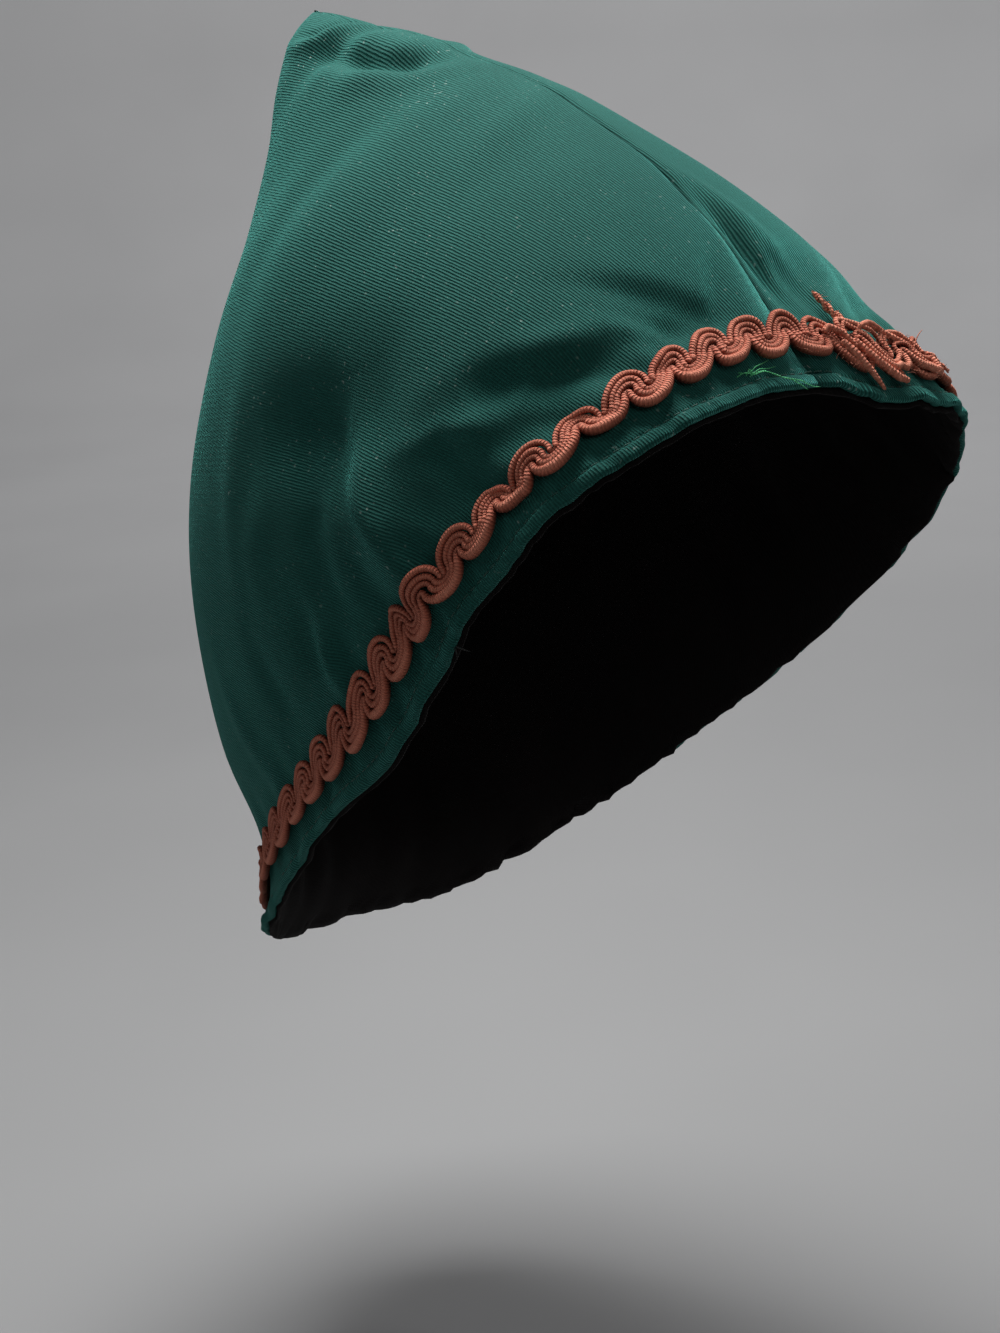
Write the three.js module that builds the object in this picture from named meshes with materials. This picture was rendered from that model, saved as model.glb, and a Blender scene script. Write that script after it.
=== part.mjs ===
// A pointed cloth hood: two twill side panels sewn along the crown and down the back,
// a dark lining inside them, and a scroll gimp braid sewn all round above the edge.
// Millimetres. +Z is up, the face looks along -Y and the wearer's left is +X. The origin
// is the spot inside the crown seam that sits over the middle of the head.

import * as THREE from "three";
import { LoftGeometry } from "three/addons/geometries/LoftGeometry.js";

// Driving sizes of the hood

const rimFrontReach = 108; // from the origin forward to the edge over the forehead
const rimFrontDrop = 81; // and down to it
const napeReach = 111; // from the origin back to the edge at the nape
const napeDrop = 285; // and down to it
const tipReach = 91; // from the origin back to the point
const tipRise = 27; // and up to it
const hoodWidth = 186; // across the widest section

// Cloth

const panelWall = 1.5;
const liningWall = 1.1;
const layerGap = 0.4; // between the panels and the lining
const seamGap = 0.35; // between the two panels
const liningShow = 1.6; // how far the lining shows past the panels' edge
const hemDepth = 5; // turned edge, stitched down
const hemSwell = 0.9; // thicker there by this much, outwards
const hemFade = [0.6, 1.2]; // shares of hemDepth between which it thins to one layer
const tipFill = 7; // seam turnings fill the point over this length
const liningTipGap = 12; // from the panels' inner point down to the lining's

// Scroll gimp braid

const braidWidth = 13.6;
const braidWall = 2.4; // at its middle
const braidEdge = 1.3; // along its two edges
const braidInset = 16; // from the hood's edge to the braid's middle
const lapInset = 11; // and where its ends lap
const braidPitch = 14.5; // from scroll to scroll
const braidNotch = 2.8; // depth of the notches between scrolls
const braidGap = 0.6; // from the cloth to the braid
const lapGap = 0.4; // from the braid to its lapped end, and from both to the frayed ends
const lapLength = 34;
const lapSkew = 1.5; // the lapped end lies this much nearer the point at its raw edge
const lapTurn = 0.065; // on the wearer's left of the crown seam
const lapDip = 0.05; // turn over which the braid dips to the edge there

// Facets

const sideFacets = 22; // from the back seam to the crown seam
const wallRows = 18; // above the turned edge
const lastRow = 0.975; // share of the way to the point
const ringsPerScroll = 5;
const waySteps = 400; // round the edge, to measure the braid's way
const nearby = 0.004; // turn and rise from a point to those that give its normal
const lastNormal = 0.995; // rise of the last of those

const colours = { twill: 0x1d5a4a, lining: 0x1d1416, gimp: 0xa8543f };

const rimFront = new THREE.Vector2(-rimFrontReach, -rimFrontDrop);
const nape = new THREE.Vector2(napeReach, -napeDrop);
const tip = new THREE.Vector2(tipReach, tipRise);

// The seams from the edge to the point, a row for each section. crown and back are shares
// of the straight way to the point, from the forehead and from the nape, and each bulge
// stands off that way by a share of its length.
const seams = [
  { crown: 0.0, crownBulge: 0.0, back: 0.0, backBulge: 0.0 },
  { crown: 0.09, crownBulge: 0.043, back: 0.09, backBulge: -0.018 },
  { crown: 0.2, crownBulge: 0.087, back: 0.18, backBulge: 0.03 },
  { crown: 0.32, crownBulge: 0.108, back: 0.3, backBulge: 0.083 },
  { crown: 0.44, crownBulge: 0.112, back: 0.43, backBulge: 0.086 },
  { crown: 0.57, crownBulge: 0.105, back: 0.55, backBulge: 0.058 },
  { crown: 0.7, crownBulge: 0.078, back: 0.67, backBulge: 0.025 },
  { crown: 0.82, crownBulge: 0.054, back: 0.79, backBulge: 0.005 },
  { crown: 0.9, crownBulge: 0.028, back: 0.88, backBulge: 0.01 },
  { crown: 0.96, crownBulge: 0.012, back: 0.95, backBulge: 0.012 },
  { crown: 1.0, crownBulge: 0.0, back: 1.0, backBulge: 0.0 },
];

// The girth of each section. width is a share of hoodWidth, and middle says how far from
// crown to back it is widest. A squareness of 2 is an ellipse. Each sag lowers one side,
// as a share of hoodWidth.
const girths = [
  { width: 0.91, middle: 0.3, frontSquare: 3.6, backSquare: 2.4, sagRight: 0.063, sagLeft: 0.115 },
  { width: 0.96, middle: 0.32, frontSquare: 2.9, backSquare: 2.3, sagRight: 0.057, sagLeft: 0.104 },
  { width: 1.0, middle: 0.36, frontSquare: 2.35, backSquare: 2.2, sagRight: 0.047, sagLeft: 0.073 },
  { width: 0.96, middle: 0.4, frontSquare: 2.1, backSquare: 2.0, sagRight: 0.031, sagLeft: 0.042 },
  { width: 0.855, middle: 0.44, frontSquare: 1.92, backSquare: 2.0, sagRight: 0.021, sagLeft: 0.021 },
  { width: 0.7, middle: 0.46, frontSquare: 1.8, backSquare: 2.0, sagRight: 0.0, sagLeft: 0.0 },
  { width: 0.52, middle: 0.48, frontSquare: 1.8, backSquare: 2.0, sagRight: 0.0, sagLeft: 0.0 },
  { width: 0.355, middle: 0.5, frontSquare: 1.9, backSquare: 2.0, sagRight: 0.0, sagLeft: 0.0 },
  { width: 0.24, middle: 0.5, frontSquare: 2.0, backSquare: 2.0, sagRight: 0.0, sagLeft: 0.0 },
  { width: 0.125, middle: 0.5, frontSquare: 2.0, backSquare: 2.0, sagRight: 0.0, sagLeft: 0.0 },
  { width: 0.0, middle: 0.5, frontSquare: 2.0, backSquare: 2.0, sagRight: 0.0, sagLeft: 0.0 },
];

const sections = seams.map((seam, i) => ({ ...seam, ...girths[i] }));

// Folds and dents. turn and rise place the middle of one on the cloth, and lean is its
// angle in degrees from the way up to the point, leaning towards the crown seam. length,
// width and depth are shares of hoodWidth; a negative depth is a dent. A fold is down to
// exp(-foldFade / 4) of its depth at the ends of its length and width, and foldReach
// keeps it on its own side of the hood.
const foldFade = 4;
const foldReach = 0.21;
const folds = {
  templeHollow: { turn: -0.42, rise: 0.27, lean: 75, length: 0.29, width: 0.2, depth: -0.033 },
  earRidge: { turn: -0.47, rise: 0.13, lean: 20, length: 0.27, width: 0.14, depth: 0.017 },
  sideBulge: { turn: -0.36, rise: 0.5, lean: 60, length: 0.35, width: 0.25, depth: 0.015 },
  pointPinch: { turn: -0.2, rise: 0.85, lean: 85, length: 0.15, width: 0.07, depth: -0.017 },
  pointRoll: { turn: -0.15, rise: 0.74, lean: 80, length: 0.19, width: 0.1, depth: 0.015 },
  pointPinchLeft: { turn: 0.3, rise: 0.82, lean: 80, length: 0.15, width: 0.08, depth: -0.015 },
  crownCrease: { turn: 0.03, rise: 0.13, lean: 10, length: 0.13, width: 0.07, depth: -0.009 },
  browDent: { turn: -0.11, rise: 0.13, lean: -50, length: 0.16, width: 0.09, depth: -0.011 },
  templeDent: { turn: -0.26, rise: 0.13, lean: -55, length: 0.18, width: 0.1, depth: -0.016 },
  earDent: { turn: -0.37, rise: 0.1, lean: -40, length: 0.15, width: 0.09, depth: -0.013 },
  templeHollowLeft: { turn: 0.44, rise: 0.3, lean: 65, length: 0.31, width: 0.21, depth: -0.025 },
  earRidgeLeft: { turn: 0.52, rise: 0.16, lean: 15, length: 0.27, width: 0.15, depth: 0.017 },
  browDentLeft: { turn: 0.16, rise: 0.14, lean: -45, length: 0.17, width: 0.1, depth: -0.01 },
  napeFoldRight: { turn: -0.8, rise: 0.16, lean: 5, length: 0.31, width: 0.14, depth: -0.019 },
  napeFoldLeft: { turn: 0.78, rise: 0.18, lean: 8, length: 0.33, width: 0.14, depth: -0.021 },
  backSlack: { turn: 0.93, rise: 0.4, lean: 80, length: 0.27, width: 0.15, depth: -0.013 },
};

// Points on the mid-plane, seen from the side, beside the straight way to the point.
function besideWay(from, share, bulge) {
  const way = tip.clone().sub(from);
  const across = new THREE.Vector2(-way.y, way.x).multiplyScalar(bulge);
  return from.clone().addScaledVector(way, share).add(across);
}

// A point of one section; turn runs from -1 at the back seam over the wearer's right side
// to 0 at the crown seam, and over the left side to 1.
function sectionPoint(section, turn) {
  const crown = besideWay(rimFront, section.crown, section.crownBulge);
  const back = besideWay(nape, section.back, -section.backBulge);
  const middle = crown.clone().lerp(back, section.middle);
  const c = Math.cos(turn * Math.PI);
  const s = Math.sin(turn * Math.PI);
  const power = 2 / (c > 0 ? section.frontSquare : section.backSquare);
  const inPlane = middle.clone().lerp(c > 0 ? crown : back, Math.abs(c) ** power);
  const down = new THREE.Vector2(back.y - crown.y, crown.x - back.x).normalize();
  const sag = s < 0 ? section.sagRight : section.sagLeft;
  inPlane.addScaledVector(down, sag * hoodWidth * Math.abs(s));
  const across = (Math.sign(s) * Math.abs(s) ** power * section.width * hoodWidth) / 2;
  return new THREE.Vector3(across, inPlane.x, inPlane.y);
}

const meridians = new Map();

// The way over the cloth from the edge to the point at one turn.
function meridian(turn) {
  if (!meridians.has(turn)) {
    const points = sections.map((section) => sectionPoint(section, turn));
    meridians.set(turn, new THREE.CatmullRomCurve3(points, false, "catmullrom", 0.5));
  }
  return meridians.get(turn);
}

function smoothPoint(turn, rise) {
  return meridian(turn).getPointAt(THREE.MathUtils.clamp(rise, 0, 1));
}

function smoothNormal(turn, rise) {
  const low = Math.max(rise - nearby, 0);
  const high = Math.min(low + 2 * nearby, lastNormal);
  const middle = high - nearby;
  const along = smoothPoint(turn + nearby, middle).sub(smoothPoint(turn - nearby, middle));
  const up = smoothPoint(turn, high).sub(smoothPoint(turn, middle - nearby));
  return along.cross(up).normalize();
}

for (const fold of Object.values(folds)) {
  fold.middle = smoothPoint(fold.turn, fold.rise);
  const up = smoothPoint(fold.turn, fold.rise + nearby).sub(fold.middle).normalize();
  const normal = smoothNormal(fold.turn, fold.rise);
  const lean = THREE.MathUtils.degToRad(fold.lean) * Math.sign(fold.turn || 1);
  fold.along = up.applyAxisAngle(normal, lean);
  fold.across = fold.along.clone().cross(normal);
}

function foldHeight(point) {
  let height = 0;
  for (const fold of Object.values(folds)) {
    const offset = point.clone().sub(fold.middle);
    const along = offset.dot(fold.along) / (fold.length * hoodWidth);
    const across = offset.dot(fold.across) / (fold.width * hoodWidth);
    const away = offset.lengthSq() - offset.dot(fold.along) ** 2 - offset.dot(fold.across) ** 2;
    const through = away / (foldReach * hoodWidth) ** 2;
    const fade = Math.exp(-foldFade * (along ** 2 + across ** 2 + through));
    height += fold.depth * hoodWidth * fade;
  }
  return height;
}

// A point on the outer face of the cloth, moved outwards by lift.
function clothPoint(turn, rise, lift) {
  const point = smoothPoint(turn, rise);
  return point.addScaledVector(smoothNormal(turn, rise), foldHeight(point) + lift);
}

// The turned edge stands proud by its extra layers of cloth.
function hemLift(turn, rise) {
  const inset = (rise * meridian(turn).getLength()) / hemDepth;
  return hemSwell * (1 - THREE.MathUtils.smoothstep(inset, ...hemFade));
}

// The rows of one meridian: three across the turned edge, the rest evenly up to the point.
function rowRises(turn) {
  const hem = hemDepth / meridian(turn).getLength();
  const rises = [0, hemFade[0] * hem, hemFade[1] * hem];
  for (let row = 1; row <= wallRows; row++) {
    rises.push(THREE.MathUtils.lerp(hemFade[1] * hem, lastRow, row / wallRows));
  }
  return rises;
}

function namedMesh(name, geometry, colour, roughness) {
  const material = new THREE.MeshStandardMaterial({ color: colour, roughness, side: THREE.DoubleSide });
  const mesh = new THREE.Mesh(geometry, material);
  mesh.name = name;
  return mesh;
}

// One section of a side panel: over its outer face and back along its inner face. At a
// fill of 1 the inner face has closed up to the seam, as the turnings do in the point.
function panelSection(row, side) {
  const face = [];
  for (let i = 0; i <= sideFacets; i++) {
    face.push(side < 0 ? -1 + i / sideFacets : i / sideFacets);
  }
  const place = (turn, depth) => {
    const rise = rowRises(turn)[row];
    const point = clothPoint(turn, rise, hemLift(turn, rise) * (depth > 0 ? 0 : 1) - depth);
    point.x = side * Math.max(side * point.x, seamGap / 2);
    return point;
  };
  const outer = face.map((turn) => place(turn, 0));
  const inner = face.map((turn) => place(turn, panelWall));
  return [...outer, ...inner.reverse()];
}

// A whole row drawn in to the middle line of the wall, which rounds the turned edge.
function foldedEdge(section) {
  const half = section.length / 2;
  return section.map((point, i) => point.clone().lerp(section[2 * half - 1 - i], 0.5));
}

// A loft splits all its squares the same way. A wall's inner face runs backwards, so its
// squares are split the other way here, and both faces of the wall then bend alike.
function splitInnerFace(geometry, columns, isInner) {
  const index = geometry.index;
  for (let square = 0; 6 * square < index.count; square++) {
    if (!isInner(Math.floor(square / columns), square % columns)) continue;
    const first = 6 * square;
    const [a, c, d] = [index.getX(first), index.getX(first + 4), index.getX(first + 5)];
    index.setX(first + 2, c);
    index.setX(first + 3, a);
    index.setX(first + 4, c);
    index.setX(first + 5, d);
  }
  return geometry;
}

function sidePanel(name, side) {
  const rows = rowRises(0).map((_, row) => panelSection(row, side));
  const outerTip = new THREE.Vector3((side * seamGap) / 2, tip.x, tip.y);
  const downSeam = new THREE.Vector3(0, (rimFront.x + nape.x) / 2 - tip.x, (rimFront.y + nape.y) / 2 - tip.y);
  const innerTip = outerTip.clone().addScaledVector(downSeam.normalize(), tipFill);
  const half = rows[0].length / 2;
  const point = rows[0].map((_, i) => (i < half ? outerTip : innerTip));
  const wall = new LoftGeometry([foldedEdge(rows[0]), ...rows, point]);
  splitInnerFace(wall, 2 * half, (row, column) => column >= half);
  return namedMesh(name, wall, colours.twill, 0.92);
}

function liningRing(row, depth) {
  const ring = [];
  for (let i = 0; i < 2 * sideFacets; i++) {
    const turn = -1 + i / sideFacets;
    const rise = rowRises(turn)[row];
    ring.push(clothPoint(turn, rise, -depth));
  }
  return ring;
}

function ringMiddle(ring) {
  const middle = new THREE.Vector3();
  for (const point of ring) middle.addScaledVector(point, 1 / ring.length);
  return middle;
}

function lining() {
  const outerDepth = panelWall + layerGap;
  const innerDepth = outerDepth + liningWall;
  const rows = wallRows + 1;
  const outer = [];
  const inner = [];
  for (let row = 0; row < rows; row++) {
    outer.push(liningRing(row, outerDepth));
    inner.push(liningRing(row, innerDepth));
  }
  // Both faces run a little past the panels' edge.
  for (const face of [outer, inner]) {
    face[0] = face[0].map((point, i) => {
      const past = point.clone().sub(face[2][i]).normalize();
      return point.addScaledVector(past, liningShow);
    });
  }
  const toTip = new THREE.Vector3(0, tip.x, tip.y).sub(ringMiddle(inner.at(-1)));
  const room = toTip.length() - tipFill - liningTipGap;
  const apex = ringMiddle(inner.at(-1)).addScaledVector(toTip.normalize(), Math.max(room, 1));
  const innerApex = apex.clone().addScaledVector(toTip, -liningWall);
  const points = [outer[0].map(() => apex), inner[0].map(() => innerApex)];
  const wall = new LoftGeometry([...outer, ...points, ...inner.reverse(), outer[0]]);
  splitInnerFace(wall, 2 * sideFacets, (row) => row > rows);
  return namedMesh("lining", wall, colours.lining, 0.95);
}

// The braid's middle dips towards the edge where its ends lap.
function braidMiddle(turn) {
  const fromLap = THREE.MathUtils.euclideanModulo(turn - lapTurn + 1, 2) - 1;
  return THREE.MathUtils.lerp(braidInset, lapInset, Math.exp(-((fromLap / lapDip) ** 2)));
}

// How far round the edge each turn lies, measured along the braid's middle.
const braidWay = [{ turn: lapTurn, length: 0 }];
const wayPoint = (turn) => smoothPoint(turn, braidMiddle(turn) / meridian(turn).getLength());
for (let i = 1; i <= waySteps; i++) {
  const before = braidWay.at(-1);
  const turn = lapTurn + (2 * i) / waySteps;
  braidWay.push({ turn, length: before.length + wayPoint(turn).distanceTo(wayPoint(before.turn)) });
}
const braidAround = braidWay.at(-1).length;

function turnAt(length) {
  const round = Math.floor(length / braidAround);
  const rest = length - round * braidAround;
  const after = Math.max(1, braidWay.findIndex((stop) => stop.length >= rest));
  const [from, to] = [braidWay[after - 1], braidWay[after]];
  return 2 * round + THREE.MathUtils.mapLinear(rest, from.length, to.length, from.turn, to.turn);
}

// A stretch of braid with its scalloped edges: scrolls above and below, half a pitch apart.
function braidStretch(name, start, length, lift, skew) {
  const scrolls = Math.round(length / braidPitch);
  const steps = Math.max(scrolls, 1) * ringsPerScroll;
  const rings = [];
  for (let i = 0; i <= steps; i++) {
    const phase = (Math.PI * i) / ringsPerScroll;
    const upper = braidWidth / 2 - braidNotch * (1 - Math.abs(Math.cos(phase)));
    const lower = braidWidth / 2 - braidNotch * (1 - Math.abs(Math.sin(phase)));
    const turn = turnAt(start + (length * i) / steps);
    const shift = skew * (1 - i / steps);
    const place = (across, height) => {
      const inset = braidMiddle(turn) + shift + across;
      return clothPoint(turn, inset / meridian(turn).getLength(), lift + height);
    };
    rings.push([
      place(-lower, braidEdge),
      place(-lower, 0),
      place(upper, 0),
      place(upper, braidEdge),
      place(0.5 * upper, braidWall),
      place(-0.5 * lower, braidWall),
    ]);
  }
  const geometry = new LoftGeometry(rings, { capStart: true, capEnd: true });
  return namedMesh(name, geometry, colours.gimp, 0.85);
}

// A frayed end: a tapering cord. Its places lie along the braid from the middle of the lap
// and beside the braid's middle, by across as a share of braidWidth. lift and radius are
// shares of braidWall.
function frayedEnd(name, rest, places) {
  const steps = 8;
  const sides = 7;
  const points = places.map(({ along, across, lift }) => {
    const turn = turnAt(along);
    const inset = braidMiddle(turn) + across * braidWidth;
    return clothPoint(turn, inset / meridian(turn).getLength(), rest + lift * braidWall);
  });
  const way = new THREE.CatmullRomCurve3(points);
  const frames = way.computeFrenetFrames(steps, false);
  const rings = frames.normals.map((normal, i) => {
    const radius = braidWall * THREE.MathUtils.lerp(places[0].radius, places.at(-1).radius, i / steps);
    const ring = [];
    for (let j = 0; j < sides; j++) {
      const angle = (2 * Math.PI * j) / sides;
      const out = normal.clone().multiplyScalar(radius * Math.cos(angle));
      out.addScaledVector(frames.binormals[i], radius * Math.sin(angle));
      ring.push(out.add(way.getPointAt(i / steps)));
    }
    return ring;
  });
  const geometry = new LoftGeometry(rings, { capStart: true, capEnd: true });
  return namedMesh(name, geometry, colours.gimp, 0.9);
}

const hood = new THREE.Group();
hood.add(sidePanel("panel_right", -1));
hood.add(sidePanel("panel_left", 1));
hood.add(lining());
hood.add(braidStretch("gimp_braid", 0, braidAround - 1, braidGap, 0));
hood.add(braidStretch("braid_lap", -lapLength / 2, lapLength, braidGap + braidWall + lapGap, lapSkew));
hood.add(frayedEnd("frayed_end_upper", braidGap, [
  { along: -4.4, across: 0.76, lift: 0.46, radius: 0.55 },
  { along: -7.4, across: 1.05, lift: 0.44, radius: 0.5 },
  { along: -10.7, across: 1.5, lift: 0.6, radius: 0.3 },
]));
hood.add(frayedEnd("frayed_end_lower", braidGap + braidWall + lapGap, [
  { along: lapLength / 2 + 1.6, across: -0.05, lift: 0.6, radius: 0.5 },
  { along: lapLength / 2 + 6.4, across: -0.15, lift: 0.75, radius: 0.42 },
  { along: lapLength / 2 + 11.8, across: -0.3, lift: 1.1, radius: 0.25 },
]));

export default hood;
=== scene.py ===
# A pointed cloth hood: two dark green twill panels sewn along the crown and down the back,
# a near-black lining, and rust-coloured scroll gimp sewn all round above the edge.
# Metres. +Z is up, the face looks along -Y and the wearer's left is +X.

import bmesh
import bpy
import numpy as np
from mathutils import Matrix, Vector


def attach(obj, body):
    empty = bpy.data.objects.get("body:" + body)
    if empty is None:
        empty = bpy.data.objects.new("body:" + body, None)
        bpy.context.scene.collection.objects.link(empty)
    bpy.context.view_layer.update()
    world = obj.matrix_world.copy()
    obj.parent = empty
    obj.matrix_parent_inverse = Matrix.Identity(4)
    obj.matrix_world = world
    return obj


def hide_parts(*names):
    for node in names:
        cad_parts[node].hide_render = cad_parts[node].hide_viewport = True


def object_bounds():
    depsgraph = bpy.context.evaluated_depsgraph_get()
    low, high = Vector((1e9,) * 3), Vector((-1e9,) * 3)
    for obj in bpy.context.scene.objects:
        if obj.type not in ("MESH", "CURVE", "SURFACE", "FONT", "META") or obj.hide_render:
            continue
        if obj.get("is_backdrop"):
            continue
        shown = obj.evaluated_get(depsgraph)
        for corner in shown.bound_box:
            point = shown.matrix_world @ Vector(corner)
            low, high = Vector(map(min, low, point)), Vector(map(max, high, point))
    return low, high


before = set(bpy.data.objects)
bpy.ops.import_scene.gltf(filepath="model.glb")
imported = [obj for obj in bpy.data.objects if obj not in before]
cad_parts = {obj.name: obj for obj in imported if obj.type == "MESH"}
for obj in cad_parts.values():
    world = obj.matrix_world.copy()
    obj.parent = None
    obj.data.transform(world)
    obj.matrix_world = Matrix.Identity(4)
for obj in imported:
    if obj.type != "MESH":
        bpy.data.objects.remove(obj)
cad_low, cad_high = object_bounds()

# Camera
# It stands to the wearer's right and a little above, 0.6 m away, with its frame turned by
# three degrees. A lens of 54 mm on a frame 36 mm high gives the photograph's view.

camera_data = bpy.data.cameras.new("camera")
camera_data.sensor_fit = "VERTICAL"
camera_data.sensor_height = 36
camera_data.lens = 54
camera = bpy.data.objects.new("camera", camera_data)
camera_place = Matrix.Translation((-0.4112, -0.4371, -0.0127))
camera_yaw = Matrix.Rotation(np.radians(-42), 4, "Z")
camera_tilt = Matrix.Rotation(np.radians(90 - 15), 4, "X")
camera_roll = Matrix.Rotation(np.radians(-3), 4, "Z")
camera.matrix_world = camera_place @ camera_yaw @ camera_tilt @ camera_roll
bpy.context.scene.collection.objects.link(camera)
bpy.context.scene.camera = camera

# Cloth of the hood
# Both panels, the lining and the braid lie on one curved surface, drawn up to a point over
# the back of the head. Its seams, girths and main folds are those of the solids, and finer
# folds, creases, puckers and the stitched edge come on top of them.

rim_front = np.array([-0.108, -0.081])
nape = np.array([0.111, -0.285])
tip = np.array([0.091, 0.027])
hood_width = 0.186

# Shares of the way from the forehead and from the nape to the point, and how far the seam
# bulges from that way, for each section from the edge to the point.
seams = np.array([
    # crown, crown bulge, back, back bulge
    (0.0, 0.0, 0.0, 0.0),
    (0.09, 0.043, 0.09, -0.018),
    (0.2, 0.087, 0.18, 0.03),
    (0.32, 0.108, 0.3, 0.083),
    (0.44, 0.112, 0.43, 0.086),
    (0.57, 0.105, 0.55, 0.058),
    (0.7, 0.078, 0.67, 0.025),
    (0.82, 0.054, 0.79, 0.005),
    (0.9, 0.028, 0.88, 0.01),
    (0.96, 0.012, 0.95, 0.012),
    (1.0, 0.0, 1.0, 0.0),
])

# The girth of each section, with its sizes as shares of hood_width.
girths = np.array([
    # width, middle, front square, back square, sag right, sag left
    (0.91, 0.3, 3.6, 2.4, 0.063, 0.115),
    (0.96, 0.32, 2.9, 2.3, 0.057, 0.104),
    (1.0, 0.36, 2.35, 2.2, 0.047, 0.073),
    (0.96, 0.4, 2.1, 2.0, 0.031, 0.042),
    (0.855, 0.44, 1.92, 2.0, 0.021, 0.021),
    (0.7, 0.46, 1.8, 2.0, 0.0, 0.0),
    (0.52, 0.48, 1.8, 2.0, 0.0, 0.0),
    (0.355, 0.5, 1.9, 2.0, 0.0, 0.0),
    (0.24, 0.5, 2.0, 2.0, 0.0, 0.0),
    (0.125, 0.5, 2.0, 2.0, 0.0, 0.0),
    (0.0, 0.5, 2.0, 2.0, 0.0, 0.0),
])

# Main folds and dents, as in the solids. turn and rise place the middle of each, and lean is
# its angle in degrees from the way up to the point, towards the crown seam. Sizes are
# shares of hood_width, and a negative depth is a dent.
main_folds = [
    # turn, rise, lean, length, width, depth
    (-0.42, 0.27, 75, 0.29, 0.2, -0.033),
    (-0.47, 0.13, 20, 0.27, 0.14, 0.017),
    (-0.36, 0.5, 60, 0.35, 0.25, 0.015),
    (-0.2, 0.85, 85, 0.15, 0.07, -0.017),
    (-0.15, 0.74, 80, 0.19, 0.1, 0.015),
    (0.3, 0.82, 80, 0.15, 0.08, -0.015),
    (0.03, 0.13, 10, 0.13, 0.07, -0.009),
    (-0.11, 0.13, -50, 0.16, 0.09, -0.011),
    (-0.26, 0.13, -55, 0.18, 0.1, -0.016),
    (-0.37, 0.1, -40, 0.15, 0.09, -0.013),
    (0.44, 0.3, 65, 0.31, 0.21, -0.025),
    (0.52, 0.16, 15, 0.27, 0.15, 0.017),
    (0.16, 0.14, -45, 0.17, 0.1, -0.01),
    (-0.8, 0.16, 5, 0.31, 0.14, -0.019),
    (0.78, 0.18, 8, 0.33, 0.14, -0.021),
    (0.93, 0.4, 80, 0.27, 0.15, -0.013),
]

turn_stops = np.linspace(-1, 1, 961)
rise_stops = np.linspace(0, 1, 361)
curve_steps = 40


def beside_way(start, share, bulge):
    way = tip - start
    return start + way * share + np.array([-way[1], way[0]]) * bulge


def section_points(seam, girth, turns):
    """One section across the hood, at each turn from -1 at the back seam over the wearer's
    right to 0 at the crown seam, and over the left to 1."""
    width, middle, front_square, back_square, sag_right, sag_left = girth
    crown = beside_way(rim_front, seam[0], seam[1])
    back = beside_way(nape, seam[2], -seam[3])
    centre = crown + (back - crown) * middle
    c = np.cos(turns * np.pi)[:, None]
    s = np.sin(turns * np.pi)[:, None]
    power = 2 / np.where(c > 0, front_square, back_square)
    end = np.where(c > 0, crown, back)
    in_plane = centre + (end - centre) * np.abs(c) ** power
    down = np.array([back[1] - crown[1], crown[0] - back[0]])
    down = down / max(np.hypot(*down), 1e-9)
    in_plane = in_plane + down * np.where(s < 0, sag_right, sag_left) * hood_width * np.abs(s)
    across = np.sign(s) * np.abs(s) ** power * width * hood_width / 2
    return np.concatenate([across, in_plane], axis=1)


def meridian_curves(turns):
    """The ways over the cloth from the edge to the point, as closely spaced points."""
    knots = np.stack([section_points(s, g, turns) for s, g in zip(seams, girths)], axis=1)
    before = 2 * knots[:, :1] - knots[:, 1:2]
    after = 2 * knots[:, -1:] - knots[:, -2:-1]
    knots = np.concatenate([before, knots, after], axis=1)
    share = (np.arange(curve_steps) / curve_steps)[None, :, None]
    points = []
    for i in range(1, knots.shape[1] - 2):
        start, end = knots[:, i, None], knots[:, i + 1, None]
        leave = (end - knots[:, i - 1, None]) / 2
        arrive = (knots[:, i + 2, None] - start) / 2
        bend = 3 * (end - start) - 2 * leave - arrive
        twist = 2 * (start - end) + leave + arrive
        points.append(start + leave * share + bend * share**2 + twist * share**3)
    points.append(knots[:, -2, None])
    return np.concatenate(points, axis=1)


def unit(vectors):
    return vectors / np.maximum(np.linalg.norm(vectors, axis=-1, keepdims=True), 1e-12)


def grid_normals(points):
    """Outward normals of a grid of points that runs by turn and then by rise."""
    around = np.empty_like(points)
    around[1:-1] = points[2:] - points[:-2]
    around[0] = points[1] - points[-2]
    around[-1] = around[0]
    up = np.gradient(points, axis=1)
    normals = np.cross(around, up)
    normals[:, -3:] = normals[:, -4:-3]
    return unit(normals)


def way_along(line):
    """How far along a line of points each of them lies."""
    steps = np.linalg.norm(np.diff(line, axis=0), axis=1)
    return np.concatenate([[0], np.cumsum(steps)])


lengths = np.empty(len(turn_stops))
smooth_points = np.empty((len(turn_stops), len(rise_stops), 3))
for i, curve in enumerate(meridian_curves(turn_stops)):
    travelled = way_along(curve)
    lengths[i] = travelled[-1]
    for axis in range(3):
        smooth_points[i, :, axis] = np.interp(rise_stops * lengths[i], travelled, curve[:, axis])
smooth_normals = grid_normals(smooth_points)


def length_at(turn):
    return np.interp((turn + 1) % 2 - 1, turn_stops, lengths)


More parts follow.
